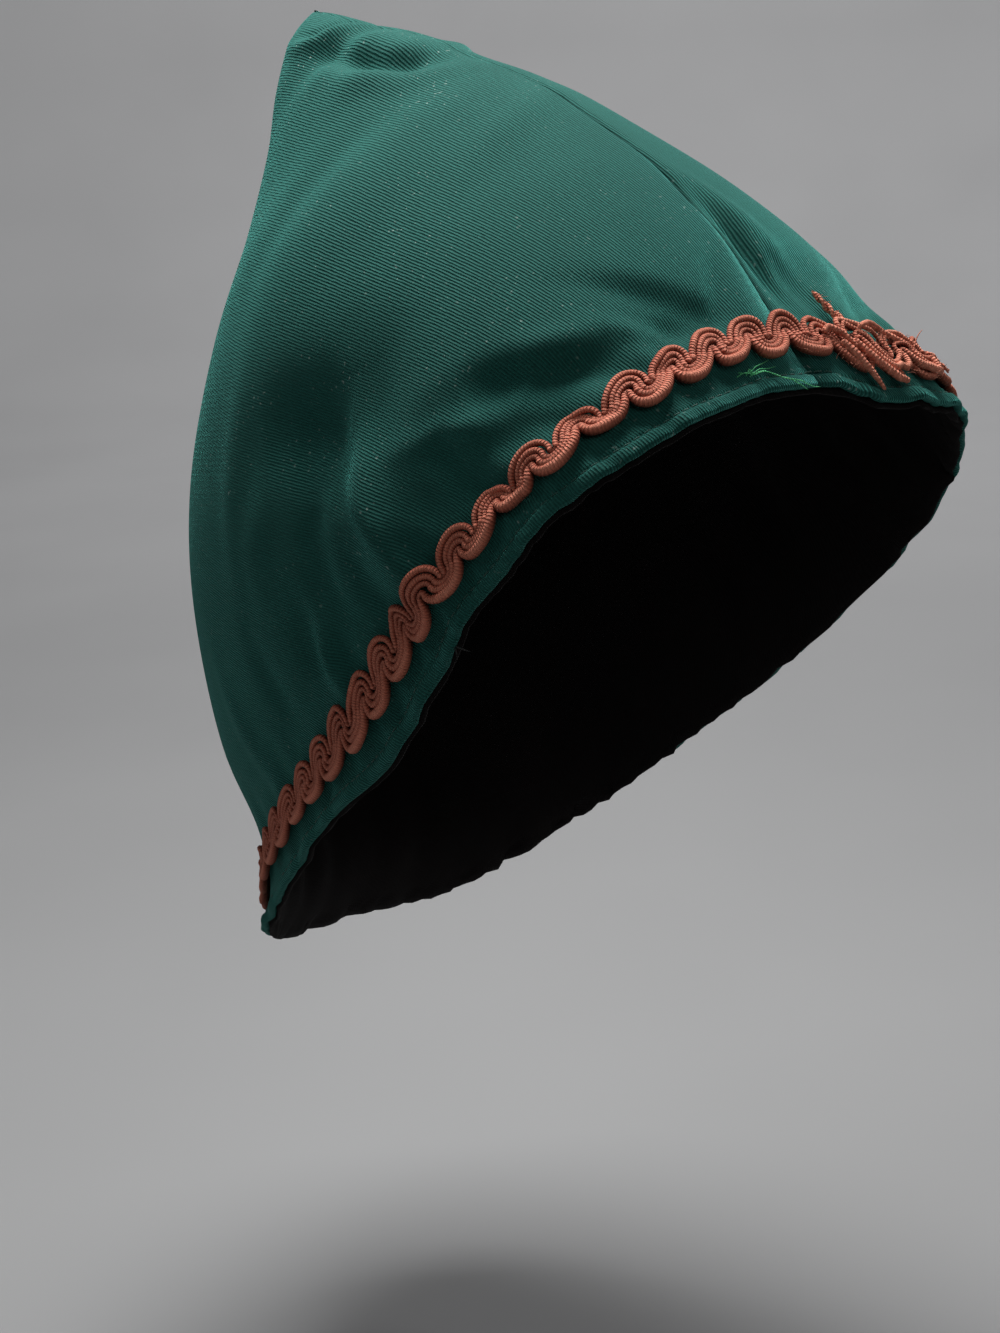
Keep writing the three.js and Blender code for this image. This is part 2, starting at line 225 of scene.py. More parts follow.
def sample(table, turn, rise):
    """Values of a turn-by-rise table between its stops. It goes on evenly below the edge."""
    across = ((np.asarray(turn) + 1) % 2) / 2 * (len(turn_stops) - 1)
    up = np.asarray(rise) * (len(rise_stops) - 1)
    i = np.clip(np.floor(across).astype(int), 0, len(turn_stops) - 2)
    j = np.clip(np.floor(up).astype(int), 0, len(rise_stops) - 2)
    a = across - i
    b = up - j
    if table.ndim == 3:
        a, b = a[..., None], b[..., None]
    low = table[i, j] * (1 - a) + table[i + 1, j] * a
    high = table[i, j + 1] * (1 - a) + table[i + 1, j + 1] * a
    return low * (1 - b) + high * b


fold_fade = 4
fold_reach = 0.21


def fold_height(points, turn, rise, lean, length, width, depth):
    """Height of one fold over the smooth cloth, with its sizes as shares of hood_width."""
    middle = sample(smooth_points, turn, rise)
    normal = unit(sample(smooth_normals, turn, rise))
    up = unit(sample(smooth_points, turn, rise + 0.004) - middle)
    angle = np.radians(lean) * (np.sign(turn) or 1)
    along = up * np.cos(angle) + np.cross(normal, up) * np.sin(angle)
    across = np.cross(along, normal)
    offset = points - middle
    far_along = offset @ along
    far_across = offset @ across
    through = (offset**2).sum(axis=-1) - far_along**2 - far_across**2
    shape = (far_along / length) ** 2 + (far_across / width) ** 2 + through / fold_reach**2
    return depth * hood_width * np.exp(-fold_fade * shape / hood_width**2)


# Finer folds, with the sizes in millimetres.
fine_folds = [
    # turn, rise, lean, length, width, height
    (-0.3, 0.62, 70, 70, 16, -1.2),
    (-0.1, 0.5, 60, 60, 14, 0.9),
    (0.012, 0.19, 6, 40, 4.5, -2.4),
    (0.035, 0.24, 14, 50, 8, 1.4),
    (-0.035, 0.13, 20, 34, 7, -1.3),
    (-0.09, 0.16, -65, 38, 8, -1.7),
    (-0.1, 0.11, -60, 34, 6, 1.0),
    (-0.19, 0.12, -60, 46, 9, -2.1),
    (-0.21, 0.17, -70, 50, 9, 1.1),
    (-0.25, 0.09, -50, 34, 7, -1.8),
    (-0.32, 0.12, -45, 36, 9, -1.9),
    (-0.36, 0.07, -35, 28, 7, -1.6),
    (-0.35, 0.17, -50, 44, 9, 1.2),
    (-0.47, 0.1, 10, 60, 9, 2.0),
    (-0.5, 0.11, 5, 50, 9, -1.8),
    (-0.545, 0.09, 15, 46, 8, 1.6),
    (-0.6, 0.12, 10, 50, 10, -1.6),
    (-0.66, 0.14, 5, 54, 10, 1.2),
    (-0.44, 0.2, 30, 60, 12, 1.6),
    (-0.55, 0.33, 40, 70, 16, 1.5),
    (-0.74, 0.3, 20, 70, 15, -1.4),
    (-0.88, 0.25, 15, 60, 14, 1.2),
    (0.1, 0.12, -30, 40, 9, -1.6),
    (0.14, 0.08, -20, 30, 8, 1.2),
    (0.22, 0.12, -40, 40, 9, -1.5),
    (0.33, 0.1, 20, 46, 10, 1.4),
    (0.42, 0.12, 10, 50, 10, -1.6),
    (0.5, 0.1, 10, 50, 9, 1.5),
    (0.58, 0.13, 5, 54, 10, -1.6),
    (0.68, 0.12, 5, 54, 10, 1.3),
    (0.88, 0.14, 12, 46, 11, -1.2),
    (0.25, 0.55, 60, 70, 16, -1.2),
    (0.4, 0.65, 75, 50, 12, 1.0),
]

relief = np.zeros(smooth_points.shape[:2])
for fold in main_folds:
    relief += fold_height(smooth_points, *fold)
for turn, rise, lean, length, width, height in fine_folds:
    sizes = (value / 1000 / hood_width for value in (length, width, height))
    relief += fold_height(smooth_points, turn, rise, lean, *sizes)

# Creases and soft ridges that follow a line over the cloth.
creases = [
    # width and height in mm, then turn and rise along the line
    (3.4, 2.2, [
        (-0.42, 0.925), (-0.315, 0.893), (-0.24, 0.877), (-0.155, 0.88), (-0.09, 0.88), (0.0, 0.875),
    ]),
    (2.6, -2.0, [(-0.33, 0.92), (-0.225, 0.9), (-0.13, 0.905), (-0.05, 0.907), (0.0, 0.902)]),
    (5.0, -5.4, [(-0.23, 0.835), (-0.195, 0.79), (-0.16, 0.745), (-0.125, 0.715), (-0.085, 0.7)]),
    (6.0, 1.2, [
        (-0.3, 0.84), (-0.24, 0.77), (-0.2, 0.725), (-0.165, 0.685), (-0.12, 0.665), (-0.06, 0.65),
    ]),
    (6.0, 1.6, [(-0.2, 0.9), (-0.14, 0.84), (-0.1, 0.8), (-0.07, 0.76)]),
    (7.0, 2.2, [(-0.375, 0.32), (-0.405, 0.268), (-0.43, 0.216), (-0.453, 0.161)]),
    (13.0, -4.6, [(-0.5, 0.345), (-0.465, 0.335), (-0.44, 0.31), (-0.425, 0.27)]),
    (7.0, -2.6, [(-0.315, 0.182), (-0.291, 0.179), (-0.27, 0.172), (-0.258, 0.155)]),
    (5.0, 1.2, [(-0.36, 0.16), (-0.336, 0.149), (-0.315, 0.142)]),
    (6.0, -2.2, [(-0.36, 0.185), (-0.366, 0.155), (-0.371, 0.125), (-0.373, 0.09)]),
    (5.5, -2.4, [(-0.235, 0.142), (-0.188, 0.133), (-0.16, 0.129), (-0.13, 0.126)]),
    (5.0, -1.8, [(-0.105, 0.113), (-0.07, 0.115), (-0.04, 0.118)]),
    (5.5, 1.6, [(-0.475, 0.245), (-0.489, 0.21), (-0.501, 0.159), (-0.506, 0.1)]),
    (6.0, -1.9, [(-0.49, 0.24), (-0.507, 0.208), (-0.517, 0.157), (-0.524, 0.115)]),
    (5.0, 1.7, [(-0.526, 0.15), (-0.537, 0.12), (-0.555, 0.09)]),
    (6.0, -1.7, [(-0.53, 0.18), (-0.548, 0.145), (-0.562, 0.12)]),
    (7.0, 1.3, [(-0.516, 0.3), (-0.548, 0.264), (-0.565, 0.2)]),
    (3.2, -2.0, [(0.012, 0.3), (0.014, 0.232), (0.008, 0.165), (0.008, 0.117), (0.006, 0.085)]),
    (9.0, -2.6, [(0.036, 0.2), (0.046, 0.163), (0.06, 0.135)]),
    (3.6, -2.4, [(0.3, 0.9), (0.2, 0.87), (0.1, 0.88), (0.0, 0.89)]),
    (3.4, 1.7, [(0.28, 0.84), (0.2, 0.79), (0.12, 0.76), (0.04, 0.74)]),
    (7.0, -2.2, [(0.3, 0.2), (0.28, 0.17), (0.25, 0.14)]),
    (6.0, 1.8, [(0.4, 0.3), (0.43, 0.22), (0.46, 0.15)]),
    (6.5, -2.0, [(0.48, 0.24), (0.5, 0.18), (0.51, 0.12)]),
    (6.0, 1.6, [(0.54, 0.2), (0.56, 0.15), (0.57, 0.1)]),
    (8.0, -1.8, [(-0.92, 0.42), (-0.84, 0.4), (-0.76, 0.36)]),
    (8.0, -1.8, [(0.95, 0.3), (0.86, 0.33), (0.78, 0.32)]),
]


crease_steps = 40


def add_crease(width, height, places):
    """Raises or sinks the cloth along a line, less towards both of its ends."""
    places = np.array(places)
    share = np.linspace(0, 1, crease_steps)
    knots = np.linspace(0, 1, len(places))
    turns = np.interp(share, knots, places[:, 0])
    rises = np.interp(share, knots, places[:, 1])
    i = slice(*np.searchsorted(turn_stops, (turns.min() - 0.2, turns.max() + 0.2)))
    j = slice(*np.searchsorted(rise_stops, (rises.min() - 0.12, rises.max() + 0.12)))
    patch = smooth_points[i, j]
    line = sample(smooth_points, turns, rises)
    nearest = np.full(patch.shape[:2], np.inf)
    full = np.zeros(patch.shape[:2])
    for point, fullness in zip(line, np.sin(np.pi * (0.1 + 0.8 * share))):
        away = ((patch - point) ** 2).sum(axis=-1)
        closer = away < nearest
        nearest[closer] = away[closer]
        full[closer] = fullness
    relief[i, j] += height / 1000 * full * np.exp(-nearest / (width / 1000) ** 2)


for width, height, places in creases:
    add_crease(width, height, places)

# Puckers that the sewn braid and the stitched edge draw into the cloth. way is how far
# round the edge each turn lies, and inset how far each point is from the edge.
edge_row = 12
edge_flare = 0.001235
way_stops = way_along(smooth_points[:, edge_row])
way = way_stops[:, None]
inset = rise_stops[None, :] * lengths[:, None]


def uneven_wave(where, pitch, seed):
    """A smooth wave without a plain repeat, whole over the way round the edge."""
    draw = np.random.default_rng(seed)
    shares = (0.53, 0.78, 1.0, 1.27, 1.63)
    value = np.zeros_like(where)
    for share in shares:
        turns = max(1, round(way_stops[-1] / pitch * share))
        value += np.sin(2 * np.pi * (turns * where / way_stops[-1] + draw.random()))
    return value / len(shares)


def band(middle, reach):
    """1 at the middle of a band along the edge, and less away from it."""
    return np.exp(-(((inset - middle) / reach) ** 2))


above_braid = band(0.028, 0.009)
below_braid = band(0, 0.007)
by_stitches = band(0.0045, 0.0025)
for height, pitch, slant, seed, where in (
    # height and pitch in metres, how far the waves lean, seed, the band that they cross
    (0.0012, 0.022, 0, 3, above_braid),
    (0.0019, 0.027, 0, 5, below_braid),
    (0.0009, 0.0105, 0.4, 8, below_braid),
    (0.0004, 0.0052, 0.6, 13, by_stitches),
):
    relief += height * uneven_wave(way + slant * inset, pitch, seed) * where
relief += edge_flare * below_braid

# The edge was cut and turned by hand, so it wanders up and down by some millimetres.
edge_wander_reach = 0.013
edge_wander = np.array([
    # turn, up in mm
    (-1.0, 0.0),
    (-0.9, 1.2),
    (-0.78, -1.5),
    (-0.66, -2.6),
    (-0.61, -0.8),
    (-0.585, -1.8),
    (-0.557, -4.6),
    (-0.537, -5.8),
    (-0.517, -3.6),
    (-0.5, -0.6),
    (-0.483, 2.6),
    (-0.46, 4.0),
    (-0.415, 3.8),
    (-0.37, 4.9),
    (-0.32, 5.8),
    (-0.27, 3.8),
    (-0.2, 2.2),
    (-0.12, 1.4),
    (-0.045, 0.8),
    (-0.024, 1.3),
    (0.0, -0.8),
    (0.009, -3.4),
    (0.022, -6.4),
    (0.05, -6.6),
    (0.1, -5.0),
    (0.17, -1.5),
    (0.26, 1.8),
    (0.36, 2.6),
    (0.45, -1.2),
    (0.53, -2.4),
    (0.62, 1.0),
    (0.75, 2.0),
    (0.88, -1.4),
    (1.0, 0.0),
])
edge_shift = np.interp(turn_stops, edge_wander[:, 0], edge_wander[:, 1] / 1000)
edge_shift = edge_shift[:, None] * band(0, edge_wander_reach)
up_the_cloth = unit(np.gradient(smooth_points, axis=1))

cloth_points = smooth_points + smooth_normals * relief[..., None]
cloth_points += up_the_cloth * edge_shift[..., None]
cloth_normals = grid_normals(cloth_points)


def on_cloth(turn, inset_at, lift):
    """Points at a turn and at a way up from the edge, lifted off the outer face."""
    rise = inset_at / length_at(turn)
    point = sample(cloth_points, turn, rise)
    normal = unit(sample(cloth_normals, turn, np.clip(rise, 0, 1)))
    return point + normal * np.asarray(lift)[..., None], normal


# Twill panels
# Cotton twill with diagonal wales 0.8 mm apart. Each panel has its edge turned in and
# stitched down 4.4 mm from the fold, and the two are sewn together with their turnings
# inside, so the seam is a narrow groove.

panel_wall = 0.0015
seam_half_gap = 0.000175
seam_dip = 0.0007
seam_dip_width = 0.0011
hem_depth = 0.0044
hem_swell = 0.0009
hem_level = 0.003
stitch_dip = 0.0008
stitch_dip_width = 0.0007
tip_fill = 0.007
wale_pitch = 0.0008
wale_angle = np.radians(-86)
twill_thread = 0.00052
grain_pull = 0.2
grain_reach = 0.3
least_left = 0.004
panel_columns = 215
panel_rows = 190
hem_insets = np.array([0, 0.15, 0.5, 1.0, 1.6, 2.3, 3.0, 3.6, 4.0, 4.4, 4.8, 5.4, 6.4, 7.8, 9.4]) / 1000
hem_fullness = np.array([0, 0.55, 0.85, 1.0])


def lay_grid(bm, points, spread):
    """A grid of squares bent to points[row, column], with spread as its UV map."""
    rows, columns = points.shape[0] - 1, points.shape[1] - 1
    first_face = len(bm.faces)
    made = bmesh.ops.create_grid(bm, x_segments=columns, y_segments=rows, size=0.5)
    places = {}
    for vertex in made["verts"]:
        place = (round((vertex.co.y + 0.5) * rows), round((vertex.co.x + 0.5) * columns))
        places[vertex] = place
        vertex.co = points[place]
    uv_layer = bm.loops.layers.uv.verify()
    bm.faces.ensure_lookup_table()
    for face in bm.faces[first_face:]:
        for loop in face.loops:
            loop[uv_layer].uv = spread[places[loop.vert]]


def add_piece(name, bm, material, weld=1e-6):
    """Closes the seams of a bmesh and makes it a smooth piece that rides on the hood."""
    bmesh.ops.remove_doubles(bm, verts=bm.verts, dist=weld)
    bmesh.ops.dissolve_degenerate(bm, dist=weld, edges=bm.edges)
    for face in bm.faces:
        face.smooth = True
    mesh = bpy.data.meshes.new(name)
    bm.to_mesh(mesh)
    bm.free()
    mesh.materials.append(material)
    piece = bpy.data.objects.new(name, mesh)
    bpy.context.scene.collection.objects.link(piece)
    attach(piece, "root")
    return piece


class Wire:
    """A shader value. Its operators add Math nodes to the finish that it belongs to."""

    def __init__(self, finish, socket):
        self.finish = finish
        self.socket = socket

    def math(self, operation, *others):
        settings = {"operation": operation}
        values = {i + 1: other for i, other in enumerate(others)}
        return self.finish.add("ShaderNodeMath", settings, {0: self, **values})

    def __add__(self, other):
        return self.math("ADD", other)

    __radd__ = __add__

    def __sub__(self, other):
        return self.math("SUBTRACT", other)

    def __rsub__(self, other):
        return (self * -1).math("ADD", other)

    def __mul__(self, other):
        return self.math("MULTIPLY", other)

    __rmul__ = __mul__

    def clipped(self):
        return self.math("MAXIMUM", 0).math("MINIMUM", 1)


class Finish:
    """A material and its nodes."""

    def __init__(self, name):
        self.material = bpy.data.materials.new(name)
        self.material.use_nodes = True
        self.tree = self.material.node_tree
        self.tree.nodes.clear()

    def add(self, kind, settings, inputs, out=0):
        """A node of this kind: its settings first, then the values or links of its sockets."""
        node = self.tree.nodes.new(kind)
        for name, value in settings.items():
            setattr(node, name, value)
        for name, value in inputs.items():
            if isinstance(value, Wire):
                self.tree.links.new(value.socket, node.inputs[name])
            else:
                node.inputs[name].default_value = value
        return Wire(self, node.outputs[out])

    def mix(self, factor, first, second):
        """Two colours mixed."""
        inputs = {0: factor, 6: first, 7: second}
        return self.add("ShaderNodeMix", {"data_type": "RGBA"}, inputs, out=2)

    def noise(self, where, scale, detail=2.0, roughness=0.5):
        inputs = {"Vector": where, "Scale": scale, "Detail": detail, "Roughness": roughness}
        return self.add("ShaderNodeTexNoise", {"noise_dimensions": "3D"}, inputs)

    def stripes(self, where, direction, pitch, wobble=0):
        """Waves from 0 to 1 along a direction, with the pitch in metres, shifted by wobble."""
        step = tuple(2 * np.pi / pitch * value for value in direction)
        settings = {"operation": "DOT_PRODUCT"}
        phase = self.add("ShaderNodeVectorMath", settings, {0: where, 1: step}, "Value")
        return (phase + wobble).math("SINE") * 0.5 + 0.5

    def close(self, surface, height, bump_distance, **shader):
        """Bump and the surface shader, wired to the output."""
        bump = self.add("ShaderNodeBump", {}, {"Height": height, "Distance": bump_distance}, "Normal")
        inputs = {name.replace("_", " "): value for name, value in shader.items()}
        inputs.update({"Base Color": surface, "Normal": bump})
        shade = self.add("ShaderNodeBsdfPrincipled", {}, inputs)
        output = self.tree.nodes.new("ShaderNodeOutputMaterial")
        self.tree.links.new(shade.socket, output.inputs["Surface"])
        return self.material


def twill_finish():
    """Dark green cotton twill, a little faded, with slubs and specks of lint. Its wale grooves are painted
    darker, as painted shade.
    """
    finish = Finish("twill")
    place = finish.add("ShaderNodeTexCoord", {}, {}, "Object")
    flat = finish.add("ShaderNodeTexCoord", {}, {}, "UV")
    across_wale = (-np.sin(wale_angle), np.cos(wale_angle), 0)
    wobble = (finish.noise(flat, 260.0) - 0.5) * 2.4
    wale = finish.stripes(flat, across_wale, wale_pitch, wobble)
    threads = finish.stripes(flat, (1, 0, 0), twill_thread)
    mapping = {"Rotation": (0, 0, -wale_angle), "Scale": (700, 2400, 1)}
    streaks = finish.add("ShaderNodeMapping", {"vector_type": "POINT"}, {"Vector": flat, **mapping})
    slub = finish.noise(streaks, 1.0, 3.0)
    height = wale * (0.75 + threads * 0.25) + slub * 0.5
    # Painted shade: the wale grooves are darker and the ridges lighter. The slubs are the yarn's own tone.
    shade = (wale * 0.55 + slub * 0.9 - 0.2).clipped()
    colour = finish.mix(shade, (0.003, 0.03, 0.024, 1), (0.017, 0.125, 0.104, 1))
    wear = finish.noise(place, 26.0, 4.0, 0.6)
    colour = finish.mix((wear * 1.6 - 0.55).clipped() * 0.35, colour, (0.036, 0.18, 0.15, 1))
    speck = ((finish.noise(place, 900.0, 0.0) - 0.76) * 18).clipped()
    patch = ((finish.noise(place, 40.0, 2.0) - 0.45) * 5).clipped()
    colour = finish.mix(speck * patch * 0.6, colour, (0.3, 0.4, 0.36, 1))
    return finish.close(
        colour, height, 0.00026, Roughness=0.88, Sheen_Weight=0.5, Sheen_Roughness=0.35,
        Sheen_Tint=(0.2, 0.9, 0.78, 1), Specular_IOR_Level=0.16,
    )


twill = twill_finish()


def flat_cut(turns, rises, side):
    """Where each point lies in the panel's flat cut: a fan about the point, from the crown.
    Each row's spread is brought halfway to the edge's, and the grain is pulled round a
    little towards the point."""
    points = sample(smooth_points, turns, rises)
    left = (1 - rises) * length_at(turns) - sample(edge_shift, turns, rises)
    left = np.maximum(left, least_left)
    steps = np.linalg.norm(np.diff(points, axis=1), axis=2)
    round_steps = np.sqrt(np.maximum(steps**2 - np.diff(left, axis=1) ** 2, 0))
    angle_steps = round_steps / ((left[:, 1:] + left[:, :-1]) / 2)
    angle = np.concatenate([np.zeros((len(points), 1)), np.cumsum(angle_steps, axis=1)], axis=1)
    angle *= (angle[:1, -1:] / angle[:, -1:]) ** 0.5
    if side < 0:
        angle -= angle[:, -1:]
    angle += grain_pull * (1 - left / grain_reach)
    return np.stack([left * np.sin(angle), -left * np.cos(angle)], axis=2)


def hem_lift(insets):
    """The turned edge stands proud, and its stitching pulls it in."""
    swell = hem_swell * (1 - np.clip((insets - hem_level) / hem_level, 0, 1) ** 2)
    return swell - stitch_dip * np.exp(-(((insets - hem_depth) / stitch_dip_width) ** 2))


def twill_panel(name, side):
    """One panel, with its outer face, its inner face and the turned edge between them."""
    face = np.linspace(min(side, 0), max(side, 0), panel_columns + 1)
    lengths_here = length_at(face)
    edge_rises = hem_insets[:, None] / lengths_here
    upper = np.linspace(0, 1, panel_rows + 1)[1:, None]
    upper_rises = edge_rises[-1] + (1 - edge_rises[-1]) * upper
    rises = np.concatenate([edge_rises, upper_rises])
    turns = np.tile(face, (len(rises), 1))
    insets = rises * lengths_here
    points = sample(cloth_points, turns, rises)
    normals = unit(sample(cloth_normals, turns, rises))
    seam_groove = seam_dip * np.exp(-((points[..., 0] / seam_dip_width) ** 2))
    full = np.ones(len(rises))
    full[: len(hem_fullness)] = hem_fullness
    outer_lift = hem_lift(insets) - seam_groove
    middle_lift = (outer_lift - panel_wall) / 2
    half_wall = (outer_lift + panel_wall) / 2 * full[:, None]
    to_tip = (1 - rises) * lengths_here
    outer = points + normals * (middle_lift + half_wall)[..., None]
    inner = points + normals * (middle_lift - half_wall)[..., None]
    closing = np.clip(to_tip / (2 * tip_fill), 0, 1)[..., None]
    centre_line = points.copy()
    centre_line[..., 0] = side * seam_half_gap
    inner = centre_line + (inner - centre_line) * closing
    for skin in (outer, inner):
        skin[..., 0] = side * np.maximum(side * skin[..., 0], seam_half_gap)
    spread = flat_cut(turns, rises, side)
    wall = np.concatenate([outer, inner[:, ::-1], outer[:, :1]], axis=1)
    wall_spread = np.concatenate([spread, spread[:, ::-1], spread[:, :1]], axis=1)
    bm = bmesh.new()
    lay_grid(bm, wall, wall_spread)
    piece = add_piece(name, bm, twill)
    return piece


twill_right = twill_panel("twill_right", -1)
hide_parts("panel_right")
twill_left = twill_panel("twill_left", 1)
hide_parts("panel_left")

# Stitches along the turned edge
# Green cotton thread, one lockstitch every 3 mm, pulled a little into the twill.

stitch_pitch = 0.0031
stitch_length = 0.0024
stitch_shares = np.array([0, 0.18, 0.5, 0.82, 1])
stitch_lift = np.array([-0.0003, 0.00015, 0.0002, 0.00015, -0.0003])
stitch_fullness = np.array([0.5, 1, 1, 1, 0.5])
thread_radius = 0.0002
thread_sides = 6
thread_twist = 0.0006


def turn_at(length):
    """The turn that lies this far round the edge from the back seam."""
    return np.interp(length % way_stops[-1], way_stops, turn_stops)


def uv_grid(across, along):
    """The UVs of a grid with its columns at across and its rows at along."""
    return np.stack(np.broadcast_arrays(across[None, :], along[:, None]), axis=2)


def strand_sides(points, normals):
    """The two directions across a strand at each point, the first one near the normal."""
    along = unit(np.gradient(points, axis=0))
    up = unit(normals - along * (normals * along).sum(axis=1, keepdims=True))
    return up, np.cross(along, up)


def add_strand(bm, points, normals, radii, sides):
    """A round strand along points, with its UV in turns round it and metres along it."""
    up, side = strand_sides(points, normals)
    angles = np.linspace(0, 2 * np.pi, sides + 1)
    ring = up[:, None] * np.cos(angles)[:, None] + side[:, None] * np.sin(angles)[:, None]
    skin = points[:, None] + ring * radii[:, None, None]
    lay_grid(bm, skin, uv_grid(angles / (2 * np.pi), way_along(points)))


def thread_finish(name, dark, light, sheen):
    """Twisted thread: a fine slanting twist and a soft sheen."""
    finish = Finish(name)
    flat = finish.add("ShaderNodeTexCoord", {}, {}, "UV")
    twist = finish.stripes(flat, (thread_twist, 1, 0), thread_twist)
    colour = finish.mix(twist, dark, light)
    return finish.close(colour, twist, 0.0001, Roughness=0.6, Sheen_Weight=sheen, Sheen_Roughness=0.4)


green_thread = thread_finish("green_thread", (0.008, 0.06, 0.045, 1), (0.028, 0.14, 0.11, 1), 0.2)

bm = bmesh.new()
for start in np.arange(0, way_stops[-1] - stitch_pitch / 2, stitch_pitch):
    turns = turn_at(start + stitch_shares * stitch_length)
    lift = hem_lift(hem_depth) + stitch_lift
    points, normals = on_cloth(turns, np.full(len(turns), hem_depth), lift)
    add_strand(bm, points, normals, thread_radius * stitch_fullness, thread_sides)
hem_stitches = add_piece("hem_stitches", bm, green_thread)

# Lining
# A thin near-black plain weave, one bag sewn in along the turned edge. It shows as a dark
# line under the edge and as the whole inside.

lining_wall = 0.0011
layer_gap = 0.0004
lining_show = 0.0009
lining_columns = 260
lining_rows = 100
lining_top = 0.87
lining_tip_gap = 0.019
top_rings = (0.3, 0.6, 0.85, 1)
weave_pitch = 0.0006
wrinkle_height = 0.0005
wrinkles_round = 36
wrinkle_slant = 14


def lining_finish():
    """Near-black cloth with a fine plain weave and a brownish cast."""
    finish = Finish("lining_cloth")
    place = finish.add("ShaderNodeTexCoord", {}, {}, "Object")
    flat = finish.add("ShaderNodeTexCoord", {}, {}, "UV")
    warp = finish.stripes(flat, (1, 0, 0), weave_pitch)
    weft = finish.stripes(flat, (0, 1, 0), weave_pitch)
    cloudy = finish.noise(place, 45.0, 4.0)
    thread = warp * 0.5 + weft * 0.5
    tone = (thread * 0.5 + cloudy * 0.5).clipped()
    colour = finish.mix(tone, (0.003, 0.0024, 0.0025, 1), (0.012, 0.0095, 0.0095, 1))
    return finish.close(
        colour, thread + cloudy * 0.6, 0.0002, Roughness=0.92, Sheen_Weight=0.02,
        Specular_IOR_Level=0.1,
    )


lining_cloth = lining_finish()

turns_once = np.linspace(-1, 1, lining_columns + 1)
lining_turns = np.tile(turns_once, (lining_rows + 1, 1))
past_edge = -lining_show / length_at(turns_once)[None, :]
lining_up = np.linspace(0, 1, lining_rows + 1)[:, None]
lining_rises = past_edge + (lining_top - past_edge) * lining_up
points = sample(cloth_points, lining_turns, lining_rises)
normals = unit(sample(cloth_normals, lining_turns, np.clip(lining_rises, 0, 1)))
depth = panel_wall + layer_gap
wrinkle_phase = wrinkles_round * np.pi * (lining_turns + 1) + wrinkle_slant * lining_rises
wrinkle = wrinkle_height * np.sin(wrinkle_phase)
wrinkle *= np.clip(lining_rises * 12, 0, 1) * np.clip((lining_top - lining_rises) * 8, 0, 1)
wall = lining_wall * np.where(lining_up == 0, 0.2, 1) + wrinkle_height
lining_outer = points - normals * depth
lining_inner = points - normals * (depth + wall + wrinkle)[..., None]


def drawn_to_top(skin, apex):
    """The skin with its last row drawn together at the apex."""
    last = skin[-1]
    rings = [last * (1 - share) + apex * share for share in top_rings]
    return np.concatenate([skin, np.stack(rings)])


tip_point = np.array([0, tip[0], tip[1]])
from_tip = unit(lining_inner[-1, :-1].mean(axis=0) - tip_point)
outer_skin = drawn_to_top(lining_outer, tip_point + from_tip * lining_tip_gap)
inner_skin = drawn_to_top(lining_inner, tip_point + from_tip * (lining_tip_gap + lining_wall))
skin = np.concatenate([inner_skin[::-1], outer_skin])
around = (turns_once + 1) / 2 * way_stops[-1]
bm = bmesh.new()
lay_grid(bm, skin, uv_grid(around, way_along(skin[:, 0])))
lining = add_piece("lining_bag", bm, lining_cloth)
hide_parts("lining")

# Scroll gimp
# Four wrapped cords that run side by side in S-scrolls, sewn on 16 mm above the edge. The
# cord that runs outermost on a scroll is the thickest, and makes the scalloped border.

braid_width = 0.0136
braid_stops = 1201
braid_gap = 0.0006
braid_end_gap = 0.0005
scroll_pitch = 0.0147
scroll_lean = 0.2
scroll_height_spread = 0.06
scroll_shift_spread = 0.035
cord_radius = 0.00115
cord_sides = 8
inner_share = 0.7
points_per_arc = 15
smoothing_rounds = 6
proud_lift = 0.0003
wrap_pitch = 0.00085
end_margin = 0.0003
shake_up = 0.0008
shake_along = 0.0006
shake_out = 0.0003

# Half the span of each cord's hump in pitches, from the outermost cord to the innermost,
# and its height as a share of the outermost's. The cord that is outermost on one hump is
# innermost on the next.
cord_spans = (0.44, 0.3, 0.2, 0.06)
cord_heights = (1, 0.68, 0.42, 0.13)

# How much the gimp was stretched while it was sewn, at turns from 0 to 2. It was pulled low
# on the wearer's right.
pull_places = (0, 1.25, 1.38, 1.52, 1.66, 2)
pull_amounts = (1, 1, 1.14, 1.14, 1, 1)

# How far the braid's middle lies from the edge. It was sewn on by eye, and dips towards the
# edge where its ends lap.
braid_places = np.array([
    # turn, inset in mm
    (-1.0, 16.0),
    (-0.8, 17.5),
    (-0.71, 19.0),
    (-0.65, 17.2),
    (-0.58, 14.8),
    (-0.54, 15.0),
    (-0.5, 15.6),
    (-0.45, 15.4),
    (-0.4, 16.8),
    (-0.28, 16.8),
    (-0.15, 16.5),
    (-0.09, 17.2),
    (-0.03, 17.4),
    (0.0, 15.6),
    (0.03, 13.2),
    (0.065, 12.0),
    (0.1, 12.6),
    (0.16, 15.0),
    (0.3, 16.5),
    (0.5, 15.5),
    (0.8, 16.5),
    (1.0, 16.0),
])
lap_turn = 0.065
lap_length = 0.034
lap_flat_reach = 0.019
lap_flatness = 0.3


